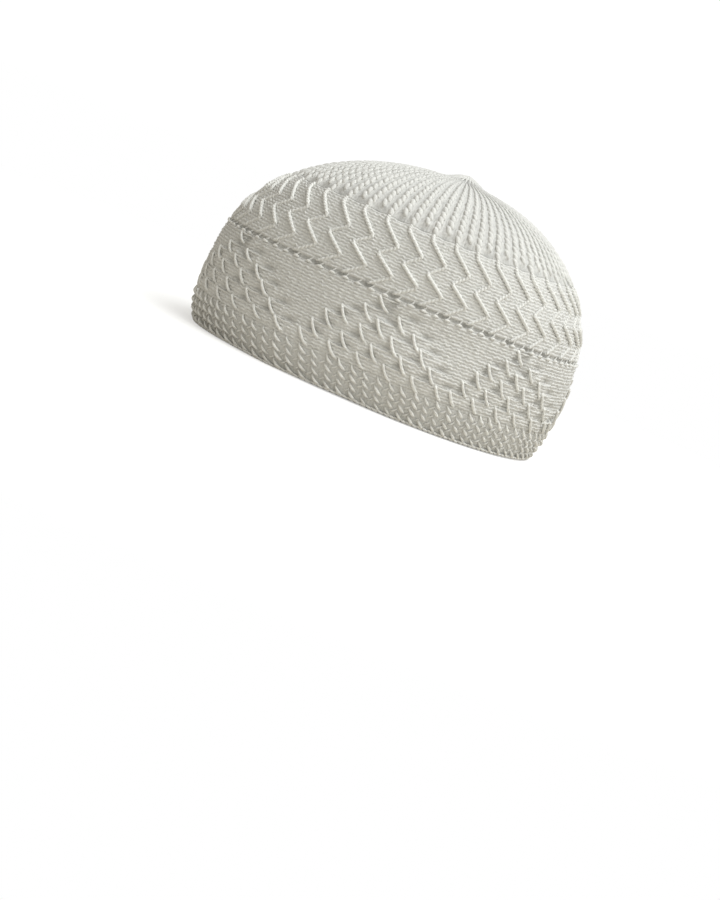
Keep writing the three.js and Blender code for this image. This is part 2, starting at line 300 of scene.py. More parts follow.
def yarn_tubes(wale, up, out, radius, sides=8, flatten=0.85):
    """Points, faces and UVs of closed tubes: a circle across the path, set up on the cloth's facing."""
    centres = place(wale, up, out)
    _, out_way = cloth(wale, up)
    radius = np.broadcast_to(radius, wale.shape)
    count, steps = wale.shape
    along = unit(np.gradient(centres, axis=1))
    side_way = unit(np.cross(out_way, along))
    top_way = unit(np.cross(along, side_way))
    turn = 2 * np.pi * np.arange(sides) / sides
    ring = np.cos(turn)[:, None] * side_way[:, :, None]
    ring = ring + flatten * np.sin(turn)[:, None] * top_way[:, :, None]
    rings = centres[:, :, None] + radius[..., None, None] * ring
    tip_way = TIP_REACH * np.array([-1, 1])[:, None]
    tips = centres[:, [0, -1]] + along[:, [0, -1]] * radius[:, [0, -1], None] * tip_way
    points = np.concatenate([rings.reshape(count, -1, 3), tips], axis=1)
    points[..., 2] = np.maximum(points[..., 2], 0.0)
    out = np.broadcast_to(out, wale.shape)
    heights = out[..., None] + radius[..., None] * flatten * np.sin(turn)
    relief = np.concatenate([heights.reshape(count, -1), out[:, [0, -1]]], axis=1)

    step, side = np.meshgrid(np.arange(steps - 1), np.arange(sides), indexing="ij")
    following = (side + 1) % sides
    low, high = step * sides, (step + 1) * sides
    quads = np.stack([low + side, low + following, high + following, high + side], axis=-1).reshape(-1, 4)
    first, last = steps * sides, steps * sides + 1
    ring_side = np.arange(sides)
    ring_next = (ring_side + 1) % sides
    top = (steps - 1) * sides
    start_cap = np.stack([ring_next, ring_side, np.full(sides, first)], axis=-1)
    end_cap = np.stack([top + ring_side, top + ring_next, np.full(sides, last)], axis=-1)
    triangles = np.concatenate([start_cap, end_cap])

    travelled = np.linalg.norm(np.diff(centres, axis=1), axis=-1)
    travelled = np.concatenate([np.zeros((count, 1)), np.cumsum(travelled, axis=1)], axis=1)
    quad_u = np.stack([side, side + 1, side + 1, side], axis=-1).reshape(-1, 4) / sides
    quad_step = np.stack([step, step, step + 1, step + 1], axis=-1).reshape(-1, 4)
    quad_uv = np.stack([quad_u + 0 * travelled[:, :1, None], travelled[:, quad_step]], axis=-1)
    cap_u = np.stack([ring_side + 1, ring_side, ring_side + 0.5], axis=-1) / sides
    cap_u = np.concatenate([cap_u, 1 - cap_u])
    ends = np.repeat([0, steps - 1], sides)
    cap_v = np.repeat(travelled[:, ends, None], 3, axis=2)
    triangle_uv = np.stack([cap_u + 0 * cap_v, cap_v], axis=-1)

    shift = np.arange(count)[:, None, None] * points.shape[1]
    quads = (quads + shift).reshape(-1, 4)
    triangles = (triangles + shift).reshape(-1, 3)
    quad_uv, triangle_uv = quad_uv.reshape(-1, 4, 2), triangle_uv.reshape(-1, 3, 2)
    return points.reshape(-1, 3), quads, triangles, quad_uv, triangle_uv, relief.ravel()


def join(*parts):
    """Several sets of points and faces as one: each set's point numbers go on from the last."""
    shifts = np.cumsum([0] + [len(part[0]) for part in parts[:-1]])
    points = np.concatenate([part[0] for part in parts])
    quads = np.concatenate([part[1].reshape(-1, 4) + shift for part, shift in zip(parts, shifts)])
    triangles = np.concatenate([part[2].reshape(-1, 3) + shift for part, shift in zip(parts, shifts)])
    quad_uv = np.concatenate([part[3].reshape(-1, 4, 2) for part in parts])
    triangle_uv = np.concatenate([part[4].reshape(-1, 3, 2) for part in parts])
    relief = np.concatenate([part[5] for part in parts])
    return points, quads, triangles, quad_uv, triangle_uv, relief


# %% [markdown]
# The cloth between the yarns is a thick ring with a detailed face and a plain lining side. The detailed
# face is a grid that goes once round the cap. The lining side needs a quarter of the columns, so a strip
# of triangles joins the two along the lower and upper edges and closes the ring.

# %% Cloth rings with a face, a lining side and closed edges
COLUMNS_PER_WALE = 4
FACE_COLUMNS = WALES * COLUMNS_PER_WALE
LINING_COLUMNS = WALES


def grid_faces(rows, columns, outward):
    """Quads of a grid whose columns close on themselves, turned to face outwards or inwards."""
    row, column = np.meshgrid(np.arange(rows - 1), np.arange(columns), indexing="ij")
    following = (column + 1) % columns
    low, high = row * columns, (row + 1) * columns
    corners = [low + column, low + following, high + following, high + column]
    uv_columns = [column, column + 1, column + 1, column]
    uv_rows = [row, row, row + 1, row + 1]
    if not outward:
        corners, uv_columns, uv_rows = corners[::-1], uv_columns[::-1], uv_rows[::-1]
    return [np.stack(part, axis=-1).reshape(-1, 4) for part in (corners, uv_columns, uv_rows)]


def edge_strip(face_ring, lining_ring, outward):
    """Triangles between a ring and one with fewer points: a fan for each lining point, and one to go on."""
    ratio = len(face_ring) // len(lining_ring)
    step = np.arange(len(face_ring))
    fan = [face_ring[step], face_ring[(step + 1) % len(face_ring)], lining_ring[step // ratio]]
    turn = np.arange(len(lining_ring))
    following = (turn + 1) % len(lining_ring)
    bridge = [face_ring[(turn + 1) * ratio % len(face_ring)], lining_ring[following], lining_ring[turn]]
    triangles = np.concatenate([np.stack(fan, axis=-1), np.stack(bridge, axis=-1)])
    return triangles if outward else triangles[:, ::-1]


def cloth_ring(wale, up, out, lining_rows, closed_top=False):
    """A closed ring of cloth: face grid, lining grid and the two strips or a closed top between them."""
    rows, columns = wale.shape
    face = place(wale, up, out)
    lining_wale = np.arange(LINING_COLUMNS) * WALES / LINING_COLUMNS
    lining_up = np.linspace(up[0, 0], up[-1, 0], lining_rows)[:, None] + 0 * lining_wale
    lining = place(lining_wale + 0 * lining_up, lining_up, np.full(lining_up.shape, -CLOTH_THICKNESS))
    points = np.concatenate([face.reshape(-1, 3), lining.reshape(-1, 3)])
    relief = np.concatenate([out.ravel(), np.zeros(lining_up.size)])
    lining_start = rows * columns

    quads, uv_column, uv_row = grid_faces(rows, columns, True)
    face_uv = np.stack([uv_column * WALES / columns, up[uv_row, uv_column % columns]], axis=-1)
    lining_quads, uv_column, uv_row = grid_faces(lining_rows, LINING_COLUMNS, False)
    lining_quads = lining_quads + lining_start
    lining_uv = np.stack([uv_column * WALES / LINING_COLUMNS, lining_up[uv_row, 0]], axis=-1)

    face_ids = np.arange(rows * columns).reshape(rows, columns)
    lining_ids = lining_start + np.arange(lining_rows * LINING_COLUMNS).reshape(lining_rows, LINING_COLUMNS)
    strips = [edge_strip(face_ids[0], lining_ids[0], False)]
    if closed_top:
        heights = face[-1, :, 2].mean(), lining[-1, :, 2].mean()
        poles = np.array([(0, CROWN_AXIS_BACK, height) for height in heights])
        pole_ids = len(points) + np.arange(2)
        points = np.concatenate([points, poles])
        relief = np.concatenate([relief, [0, 0]])
        ring, following = face_ids[-1], np.roll(face_ids[-1], -1)
        strips.append(np.stack([ring, following, np.full(columns, pole_ids[0])], axis=-1))
        ring, following = lining_ids[-1], np.roll(lining_ids[-1], -1)
        strips.append(np.stack([following, ring, np.full(LINING_COLUMNS, pole_ids[1])], axis=-1))
    else:
        strips.append(edge_strip(face_ids[-1], lining_ids[-1], True))
    triangles = np.concatenate(strips)
    all_quads = np.concatenate([quads, lining_quads])
    all_uv = np.concatenate([face_uv, lining_uv])
    return points, all_quads, triangles, all_uv, np.zeros((len(triangles), 3, 2)), relief


# %% [markdown]
# White cotton yarn is matt and slightly warm, with a soft sheen from loose fibres. Close up, it is two
# plies twisted together, so a fine slanting groove runs along every stitch. The grooves and the fibres
# are far too fine for a mesh. One node group works them out from the yarn's own UV map, and each
# material places it with its own numbers.
# The same group also paints shade into the colour, darker in the grooves and where the knit lies deep, and
# paints light on the highest stitches.


# %% Fill the inputs of a node
def fill_inputs(tree, node, inputs):
    """Fills a node's inputs by name or number: a socket is linked, and any other value is set."""
    for key, value in inputs.items():
        if isinstance(value, bpy.types.NodeSocket):
            tree.links.new(value, node.inputs[key])
        else:
            node.inputs[key].default_value = value
    return node


def add_node(tree, kind, inputs):
    """A new node with its inputs filled."""
    return fill_inputs(tree, tree.nodes.new(kind), inputs)


# %% A node group for twisted cotton
# Shade sets the random patches of tone and the painted shade in the ply grooves. The last two are the
# painted shade in the hollows and the painted light on the crests, as shares of the colour
COTTON_VALUES = {
    "Plies Across": 2.0,
    "Twists Along": 0.6,
    "Groove Depth": 0.5,
    "Fibre Depth": 1.6,
    "Shade": 0.1,
    "Mottle": 0.5,
    "Painted Hollow Shade": 0.8,
    "Painted Crest Light": 1.1,
}
FIBRE_NOISE = {"Scale": 1000.0, "Detail": 4.0, "Roughness": 0.7}
PATCH_NOISE = {"Scale": 45.0, "Detail": 2.0}
NOISE_MIDDLE = 0.5
GROOVE_SHADE = 0.12
# Painted shade and light: stitches that lie deep in the knit are painted darker, as if shade fell between
# the yarns, and the highest ones are painted lighter
DEEPEST_RELIEF = -1.3
HIGHEST_RELIEF = 1.3


def cotton_group():
    """Colour and height of cotton: slanting ply grooves from the UV map, fibre noise in the object, and
    painted shade and light from the relief.
    """
    group = bpy.data.node_groups.new("twisted cotton", "ShaderNodeTree")
    for name, value in COTTON_VALUES.items():
        socket = group.interface.new_socket(name, in_out="INPUT", socket_type="NodeSocketFloat")
        socket.default_value = value
    group.interface.new_socket("Tint", in_out="INPUT", socket_type="NodeSocketColor")
    group.interface.new_socket("Color", in_out="OUTPUT", socket_type="NodeSocketColor")
    group.interface.new_socket("Height", in_out="OUTPUT", socket_type="NodeSocketFloat")
    inputs = group.nodes.new("NodeGroupInput").outputs
    place_node = group.nodes.new("ShaderNodeTexCoord")

    def maths(operation, first, second=0.0):
        node = add_node(group, "ShaderNodeMath", {0: first, 1: second})
        node.operation = operation
        return node.outputs[0]

    def noise(settings):
        """Noise in the object's own space, moved so that its middle is nought."""
        node = add_node(group, "ShaderNodeTexNoise", {"Vector": place_node.outputs["Object"], **settings})
        return maths("SUBTRACT", node.outputs[0], NOISE_MIDDLE)

    uv = group.nodes.new("ShaderNodeUVMap")
    uv.uv_map = "knit"
    split = add_node(group, "ShaderNodeSeparateXYZ", {0: uv.outputs[0]})
    across = maths("MULTIPLY", split.outputs[0], inputs["Plies Across"])
    along = maths("MULTIPLY", split.outputs[1], inputs["Twists Along"])
    wave = maths("SINE", maths("MULTIPLY", maths("ADD", across, along), 2 * math.pi))
    grooves = maths("MULTIPLY", wave, inputs["Groove Depth"])
    fuzz = noise(FIBRE_NOISE)
    height = maths("ADD", grooves, maths("MULTIPLY", fuzz, inputs["Fibre Depth"]))

    # Painted shade in the hollows and painted light on the crests, read from each point's relief
    depth = group.nodes.new("ShaderNodeAttribute")
    depth.attribute_name = "relief"
    relief = {"Value": depth.outputs["Fac"], "From Min": DEEPEST_RELIEF, "From Max": HIGHEST_RELIEF}
    lightness = {"To Min": inputs["Painted Hollow Shade"], "To Max": inputs["Painted Crest Light"]}
    shade = add_node(group, "ShaderNodeMapRange", {**relief, **lightness})
    # Painted shade in the ply grooves: the colour follows the groove wave and is darker in the grooves,
    # over random patches of tone
    light = maths("ADD", noise(PATCH_NOISE), maths("MULTIPLY", wave, GROOVE_SHADE))
    value = maths("ADD", maths("MULTIPLY", light, inputs["Shade"]), shade.outputs[0])
    # The fibre noise of the bump also makes the colour lighter where the fibres stand higher
    value = maths("ADD", value, maths("MULTIPLY", fuzz, inputs["Mottle"]))
    tinted = add_node(group, "ShaderNodeHueSaturation", {"Color": inputs["Tint"], "Value": value})
    add_node(group, "NodeGroupOutput", {"Color": tinted.outputs[0], "Height": height})
    print("nodes in the cotton group:", len(group.nodes))
    return group


COTTON = cotton_group()

# %% Materials for yarn and for cloth
WHITE_COTTON = (0.84, 0.835, 0.805, 1)
MATT_CLOTH = {"Roughness": 0.82, "Specular IOR Level": 0.3, "Sheen Weight": 0.18, "Sheen Roughness": 0.5}
FINE_BUMP = {"Strength": 0.6, "Distance": 0.0002}
# Twist and grooves of each material, then deep and high: the painted shade in its hollows and the painted
# light on its crests, as shares of its colour
TWISTS_AND_PAINTED_SHADE = {
    "white cotton yarn": {"plies": 2.0, "twists": 0.45, "groove": 0.5, "deep": 0.78, "high": 1.14},
    "white purl cloth": {"plies": 1.0, "twists": 0.0, "groove": 0.25, "deep": 0.82, "high": 1.1},
    "white crown knit": {"plies": 2.0, "twists": 0.45, "groove": 0.3, "deep": 0.77, "high": 1.07},
}


def cotton_material(name):
    """A matt fabric shader whose colour and bump come from the cotton group with this material's twist, its
    painted shade in the hollows and its painted light on the crests.
    """
    twist_and_shade = TWISTS_AND_PAINTED_SHADE[name]
    material = bpy.data.materials.new(name)
    material.use_nodes = True
    tree = material.node_tree
    cotton = tree.nodes.new("ShaderNodeGroup")
    cotton.node_tree = COTTON
    twist = {"Plies Across": twist_and_shade["plies"], "Twists Along": twist_and_shade["twists"]}
    light = {"Painted Hollow Shade": twist_and_shade["deep"], "Painted Crest Light": twist_and_shade["high"]}
    fill_inputs(tree, cotton, {"Tint": WHITE_COTTON, "Groove Depth": twist_and_shade["groove"], **twist, **light})
    bump = add_node(tree, "ShaderNodeBump", {"Height": cotton.outputs["Height"], **FINE_BUMP})
    surface = {"Base Color": cotton.outputs["Color"], "Normal": bump.outputs["Normal"], **MATT_CLOTH}
    fill_inputs(tree, tree.nodes["Principled BSDF"], surface)
    return material


yarn_material = cotton_material("white cotton yarn")
cloth_material = cotton_material("white purl cloth")
crown_material = cotton_material("white crown knit")
print("cotton_materials:", list(TWISTS_AND_PAINTED_SHADE))

# %% [markdown]
# A knit that is the same everywhere looks moulded. Each stitch is pulled a little tighter or looser than
# its neighbour, so its place, size and height get small random changes. One seeded source makes them
# all, in the same order each run, so the cap is the same cap every time.

# %% Unevenness, and distances round the cap
rng = np.random.default_rng(7)


def uneven(spread, shape, centre=0.0):
    """Random values up to a spread either side of a centre."""
    return rng.uniform(centre - spread, centre + spread, shape)


def wales_from(wale, at, every=WALES):
    """Wales to the nearest of a row of places: one at a wale, and one more at every so many wales."""
    return np.abs(np.mod(wale - at + every / 2, every) - every / 2)


rim_steps = np.linalg.norm(np.diff(CLOTH_POINTS[:, 0], axis=0), axis=1)
print("mean width of a wale at the rim in mm:", round(float(rim_steps.sum()) / WALES, 2))

# %% [markdown]
# Purl cloth shows its courses as rows of small overlapping arches. A grid whose rows follow those arches
# needs only four rows for each course: a valley, a flank, a crest and a flank. A straight grid would need
# three times as many to show the same waves.

# %% Purl cloth as a grid that follows its courses
ROWS_PER_COURSE = 4
ARCH_COURSES = 0.15
ARCH_SWELL = 0.3
PURL_RISE = 0.36
LOOSE_STITCH = 0.26
SWAY_COURSES = 0.09
CREST_PROFILE = np.array([-1.0, 0.35, 1.0, 0.35])


def purl_grid(courses, low_up, high_up):
    """Wales, heights and relief of purl cloth: crests bent into arches by a cosine along each wale."""
    wale = np.arange(FACE_COLUMNS) / COLUMNS_PER_WALE
    course = np.arange(courses * ROWS_PER_COURSE + 1)[:, None] / ROWS_PER_COURSE
    at_course = course.astype(int).ravel()
    from_edge = np.minimum(course, courses - course).clip(0, 1)
    sway = rng.normal(0, SWAY_COURSES, (courses + 1, FACE_COLUMNS))
    arch = (ARCH_COURSES * np.cos(2 * np.pi * wale) + sway[at_course]) * from_edge
    up = low_up + (high_up - low_up) * (course + arch) / courses
    profile = np.resize(CREST_PROFILE, len(course))[:, None]
    looseness = uneven(LOOSE_STITCH, (courses + 1, 2 * WALES))
    loose = looseness[at_course][:, (2 * wale).astype(int)]
    swell = 1 + ARCH_SWELL * np.cos(2 * np.pi * wale)
    rise = PURL_RISE * profile * swell + loose * (profile > 0)
    rise[[0, -1]] = -PURL_RISE
    return wale + 0 * up, up, rise


def dent(wale, up, at_wale, at_up, half_wales, half_mm, depth):
    """A soft hollow, or a swell where depth is negative: a bell round the cap and up the cloth."""
    band = min(int(at_up), BAND_COUNT - 1)
    above = (up - at_up) * BAND_LENGTHS[band] / half_mm
    return -depth * bell(wales_from(wale, at_wale) / half_wales, above)


# %% [markdown]
# The triangles are made of floating strands. In each cell one loop of yarn is pulled over four courses:
# it starts as a lip that runs along a course, turns over the top of the cell and hangs down and back.
# The lip pulls the cloth, so there is a small dark hollow over it and a soft pillow beside the strand.
# A bump map could draw them, but these strands cast shadows and break the outline, so they are yarns.

# %% The cells of the stepped triangles
# Counted in wales from the apex: the first cell and how far apart they are. top is a share of the band
CELL_TABLE = [
    {"cells": 1, "first": 0.5, "apart": 0.0, "top": 0.985, "drop": 0.15},
    {"cells": 2, "first": -1.2, "apart": 5.2, "top": 0.815, "drop": 0.165},
    {"cells": 3, "first": -3.7, "apart": 5.3, "top": 0.69, "drop": 0.185},
    {"cells": 4, "first": -5.5, "apart": 4.8, "top": 0.555, "drop": 0.195},
    {"cells": 5, "first": -6.9, "apart": 4.5, "top": 0.38, "drop": 0.19},
    {"cells": 6, "first": -8.2, "apart": 4.3, "top": 0.21, "drop": 0.165},
]
CELL_PLAY = {"wales": 0.22, "up": 0.007, "drop": 0.07}
# The triangle on the forehead is stretched less, so its strands are shorter and lie closer to the front
FOREHEAD_REPEAT = REPEATS - 1
FOREHEAD_SHIFT = -1.3
FOREHEAD_DROP = 0.8


def cell_places():
    """Wale, top and drop of every cell as three arrays, each cell a little out of its even place."""
    places = []
    for repeat in range(REPEATS):
        forehead = repeat == FOREHEAD_REPEAT
        apex = APEX_WALE + repeat * WALES_PER_REPEAT + (FOREHEAD_SHIFT if forehead else 0.0)
        for cells in CELL_TABLE:
            for cell in range(cells["cells"]):
                wale = apex + cells["first"] + cell * cells["apart"]
                drop = cells["drop"] * (FOREHEAD_DROP if forehead else 1.0)
                places.append((wale, 1.0 + cells["top"], drop))
    wale, top, drop = np.array(places).T
    wale = wale + uneven(CELL_PLAY["wales"], len(wale))
    top = top + uneven(CELL_PLAY["up"], len(wale))
    drop = drop * uneven(CELL_PLAY["drop"], len(wale), centre=1.0)
    return wale, top, drop


CELL_WALES, CELL_TOPS, CELL_DROPS = cell_places()
print("cells in the triangles:", len(CELL_WALES))

# %% The purl cloth of the triangle band
# Hollows and swells at each cell: wales back and mm up from its top, how far they reach, and their depth
CELL_FORMS = [
    {"back": 1.9, "up": 1.5, "half_wales": 1.0, "half_mm": 1.4, "depth": 1.6},
    {"back": 2.9, "up": -3.0, "half_wales": 1.2, "half_mm": 2.0, "depth": -0.45},
    {"back": 0.2, "up": -3.6, "half_wales": 0.5, "half_mm": 2.0, "depth": 0.5},
]
# A cell's forms are added to the rows within this share of the band from its top
CELL_REACH = 0.25
# A crease just over the rim: how high its middle is, which is also how far it reaches, and its depth
CREASE_MM = 0.9
CREASE_DEPTH = 0.5


def triangle_cloth():
    """The band's purl cloth, with a hollow over each lip and a pillow beside each strand."""
    wale, up, rise = purl_grid(TRIANGLE_COURSES, 1.0, 2.0)
    for at_wale, top in zip(CELL_WALES, CELL_TOPS):
        near = np.abs(up[:, 0] - top) < CELL_REACH
        for form in CELL_FORMS:
            at_up = top + form["up"] / BAND_LENGTHS[1]
            reach = form["half_wales"], form["half_mm"]
            rise[near] += dent(wale[near], up[near], at_wale + form["back"], at_up, *reach, form["depth"])
    foot = (up - 1.0) * BAND_LENGTHS[1]
    rise -= CREASE_DEPTH * bell((foot - CREASE_MM) / CREASE_MM)
    rise[[0, -1]] = -PURL_RISE
    part = cloth_ring(wale, up, rise, lining_rows=9)
    return make_piece("triangle_cloth", *part, cloth_material, flat_edges=True)


triangle_cloth()

# %% The floating strands of the triangles
# The path of a strand from its top: wales back, share of its drop still to go, and lift off the cloth
STRAND_PATH = [
    {"back": -0.15, "left": 1.08, "lift": -0.1},
    {"back": -0.05, "left": 0.98, "lift": 0.75},
    {"back": 0.15, "left": 0.8, "lift": 1.0},
    {"back": 0.45, "left": 0.56, "lift": 1.0},
    {"back": 0.85, "left": 0.32, "lift": 0.95},
    {"back": 1.3, "left": 0.12, "lift": 0.8},
    {"back": 1.8, "left": -0.04, "lift": -0.1},
]
# The lip runs back along the course from the strand's top
LIP_PATH = [
    {"back": -0.4, "left": 0.93, "lift": -0.1},
    {"back": 0.0, "left": 0.98, "lift": 0.3},
    {"back": 0.7, "left": 0.95, "lift": 0.45},
    {"back": 1.4, "left": 0.92, "lift": 0.4},
    {"back": 2.1, "left": 0.95, "lift": 0.2},
    {"back": 2.7, "left": 0.96, "lift": -0.3},
]
STRAND_STEPS = 15
LIP_STEPS = 11
STRAND_RADIUS = 0.72
LIP_RADIUS = 0.42
STRAND_LIFT = 0.85
STRAND_END = 0.6
STRAND_PLAY = {"lift": 0.15, "radius": 0.1}


def smooth_path(table, names, steps):
    """Columns of a path table read at even steps: a running curve through the points, whose slope at a
    point is half the way between its neighbours."""
    rows = np.array([[row[name] for name in names] for row in table], float)
    slopes = np.gradient(rows, axis=0)
    at = np.linspace(0, len(rows) - 1, steps)
    start = np.minimum(at.astype(int), len(rows) - 2)
    part = (at - start)[:, None]
    ahead = part * part * (3 - 2 * part)
    rise = part * (1 - part) ** 2
    fall = part * part * (1 - part)
    mixed = rows[start] * (1 - ahead) + rows[start + 1] * ahead
    return (mixed + slopes[start] * rise - slopes[start + 1] * fall).T


def thin_ends(steps, least):
    """Shares of a yarn's thickness along it: the least at its two tips, and all of it two rings on."""
    from_end = np.minimum(np.arange(steps), np.arange(steps)[::-1])
    return np.minimum(1, least + (1 - least) / 2 * from_end)


def cell_yarns(path, steps, thickness):
    """One yarn for each cell along a path from the cell's own top, with thinner ends."""
    back, left, lift = smooth_path(path, ("back", "left", "lift"), steps)
    wale = CELL_WALES[:, None] + back
    up = CELL_TOPS[:, None] - CELL_DROPS[:, None] * (1 - left)
    out = STRAND_LIFT * lift * uneven(STRAND_PLAY["lift"], (len(CELL_WALES), 1), centre=1.0)
    size = uneven(STRAND_PLAY["radius"], (len(CELL_WALES), 1), centre=1.0)
    return yarn_tubes(wale, up, out, thickness * thin_ends(steps, STRAND_END) * size)


def triangle_strands():
    """The strands and the lips of all the cells as one piece."""
    strands = cell_yarns(STRAND_PATH, STRAND_STEPS, STRAND_RADIUS)
    lips = cell_yarns(LIP_PATH, LIP_STEPS, LIP_RADIUS)
    return make_piece("triangle_strands", *join(strands, lips), yarn_material)


triangle_strands()

# %% [markdown]
# The rim is knitted double and rolls a little, so it stands proud of the band above. Its face is moss
# stitch: rows of short yarns that lean the same way, each row set half a stitch along from the next.
# Between them are rows of thinner yarns that lean the other way and lie deeper. A chain closes the lower
# edge. All of these bow out of the cloth like a low arch, so one small function gives their path.

# %% The rolled rim with the chain along its edge
RIM_PROFILE = [
    {"up": 0.0, "out": -0.6},
    {"up": 0.05, "out": -0.3},
    {"up": 0.15, "out": -0.4},
    {"up": 0.4, "out": -0.4},
    {"up": 0.8, "out": -0.4},
    {"up": 0.93, "out": -0.4},
    {"up": 1.0, "out": -0.36},
]
RIM_ROWS = 15
# Apart from the wales in it, the chain is in mm: its height, how it falls and arches, bow and thickness
CHAIN = {"steps": 7, "half_wales": 0.62, "play_wales": 0.06, "height": 1.25, "fall": 0.35, "arch": 0.25}
CHAIN_BOW = {"base": 0.2, "bow": 0.6, "end_radius": 0.32, "swell": 0.36}


def bowed(steps):
    """Even places along a yarn from -1 to 1, and its bow at each: one minus the square of the place."""
    along = np.linspace(-1, 1, steps)
    return along, 1 - along**2


def from_least(least, share):
    """A value that runs from the least, where the share is 0, to 1, where the share is 1."""
    return least + (1 - least) * share


def face_grid(ups):
    """Wales and heights of a cloth's face: even columns all round, and a row at each of the heights."""
    up, wale = np.meshgrid(ups, np.arange(FACE_COLUMNS) / COLUMNS_PER_WALE, indexing="ij")
    return wale, up


def profile_out(profile, up):
    """How far out the cloth lies at each height, read from a profile's table."""
    return np.interp(up, [row["up"] for row in profile], [row["out"] for row in profile])


def rim_roll():
    """The body of the rim: the cloth's ring with a rounded profile, and the chain along its edge."""
    wale, up = face_grid(np.linspace(0, 1, RIM_ROWS))
    body = cloth_ring(wale, up, profile_out(RIM_PROFILE, up), lining_rows=5)

    along, bow = bowed(CHAIN["steps"])
    middle = np.arange(WALES)[:, None] + uneven(CHAIN["play_wales"], (WALES, 1))
    height = CHAIN["height"] - CHAIN["fall"] * along + CHAIN["arch"] * bow
    chain_up = height / RIM_BAND_TOP + 0 * middle
    chain_out = CHAIN_BOW["base"] + CHAIN_BOW["bow"] * bow + 0 * middle
    radius = CHAIN_BOW["end_radius"] + CHAIN_BOW["swell"] * bow
    chain = yarn_tubes(middle + CHAIN["half_wales"] * along, chain_up, chain_out, radius, sides=6)
    return make_piece("rim_roll", *join(body, chain), yarn_material, flat_edges=True)


rim_roll()

# %% The moss stitches of the rim
MOSS_ROWS = 7
MOSS_ROW_PITCH = 1.87
MOSS_ROW_SHIFT = -0.15
FIRST_MOSS_HEIGHT = 3.0
MOSS_STEPS = 9
MOSS_END = 0.5
MOSS_SIZE = 0.99
MOSS_PLAY = {"wales": 0.16, "mm": 0.2, "size": 0.13}
# Rows of high stitches that lean back on their way down, and rows of low ones between them
MOSS_KINDS = [
    {"lean": 0.68, "half_mm": 1.5, "radius": 0.66, "base": 0.0, "bow": 1.15, "across": 0.0},
    {"lean": -0.42, "half_mm": 1.1, "radius": 0.44, "base": -0.2, "bow": 0.6, "across": 1.0},
]


def moss_stitches():
    """The moss stitches as short yarns, bowed out in the middle: one kind in each row, turn by turn."""
    parts = []
    along, bow = bowed(MOSS_STEPS)
    stitch = np.arange(WALES // WALES_PER_RIB)[:, None]
    for row in range(MOSS_ROWS):
        kind = MOSS_KINDS[row % 2]
        wale = WALES_PER_RIB * stitch + kind["across"] + MOSS_ROW_SHIFT * row
        wale = wale + uneven(MOSS_PLAY["wales"], stitch.shape)
        height = FIRST_MOSS_HEIGHT + MOSS_ROW_PITCH * row + uneven(MOSS_PLAY["mm"], stitch.shape)
        size = uneven(MOSS_PLAY["size"], stitch.shape, centre=MOSS_SIZE)
        path_up = (height - kind["half_mm"] * along * size) / RIM_BAND_TOP
        path_out = kind["base"] + kind["bow"] * bow * size
        radius = kind["radius"] * from_least(MOSS_END, bow) * size
        parts.append(yarn_tubes(wale + kind["lean"] * along * size, path_up, path_out, radius))
    return make_piece("moss_stitches", *join(*parts), yarn_material)


moss_stitches()

# %% [markdown]
# The ridge line is where the knitting changes. A row of small loops stands on its lower edge, and over
# them the cloth sinks into a groove with a hole above each loop. The hole under each rope is larger.
# The holes are deep dents and not real openings, because cloth of this thickness shows no light in them.

# %% The groove of the ridge line
RIDGE_PROFILE = [
    {"up": 2.0, "out": -0.36},
    {"up": 2.12, "out": -0.1},
    {"up": 2.25, "out": -0.5},
    {"up": 2.4, "out": -0.8},
    {"up": 2.8, "out": -0.85},
    {"up": 2.95, "out": -0.65},
    {"up": 3.0, "out": -0.36},
]
RIDGE_ROWS = 15
HOLE_UP = 2.65
HOLE_HALF_MM = 0.9
ROPE_HOLE_DEPTH = 0.9
HOLES = [
    {"at": 0.0, "every": WALES_PER_RIB, "half_wales": 0.5, "depth": 0.8},
    {"at": ROPE_FOOT_WALE, "every": WALES_PER_ROPE, "half_wales": 0.7, "depth": ROPE_HOLE_DEPTH},
]


def ridge_cloth():
    """The groove of the ridge line with a hole at every second wale, deepest under the ropes."""
    wale, up = face_grid(np.linspace(2, 3, RIDGE_ROWS))
    out = profile_out(RIDGE_PROFILE, up)
    above = (up - HOLE_UP) * BAND_LENGTHS[2] / HOLE_HALF_MM
    for hole in HOLES:
        across = wales_from(wale, hole["at"], hole["every"]) / hole["half_wales"]
        out -= hole["depth"] * bell(across, above)
    out[[0, -1]] = -PURL_RISE
    return cloth_ring(wale, up, out, lining_rows=3)


# %% The loops of the ridge line
# Heights up, and how they arch and vary, are counted in bands. Bows and radii are in mm
LOOP_STEPS = 7
LOOP_SIZE = 0.975
LOOP_PLAY = {"wales": 0.14, "size": 0.175, "up": 0.05}
LOOP = {"half_wales": 0.5, "up": 2.12, "arch": 0.12, "bow": 0.85, "radius": 0.66, "end": 0.6}
BRIDGE = {"half_wales": 0.25, "up": 2.62, "half_up": 0.42, "base": -0.5, "bow": 0.5, "radius": 0.42}


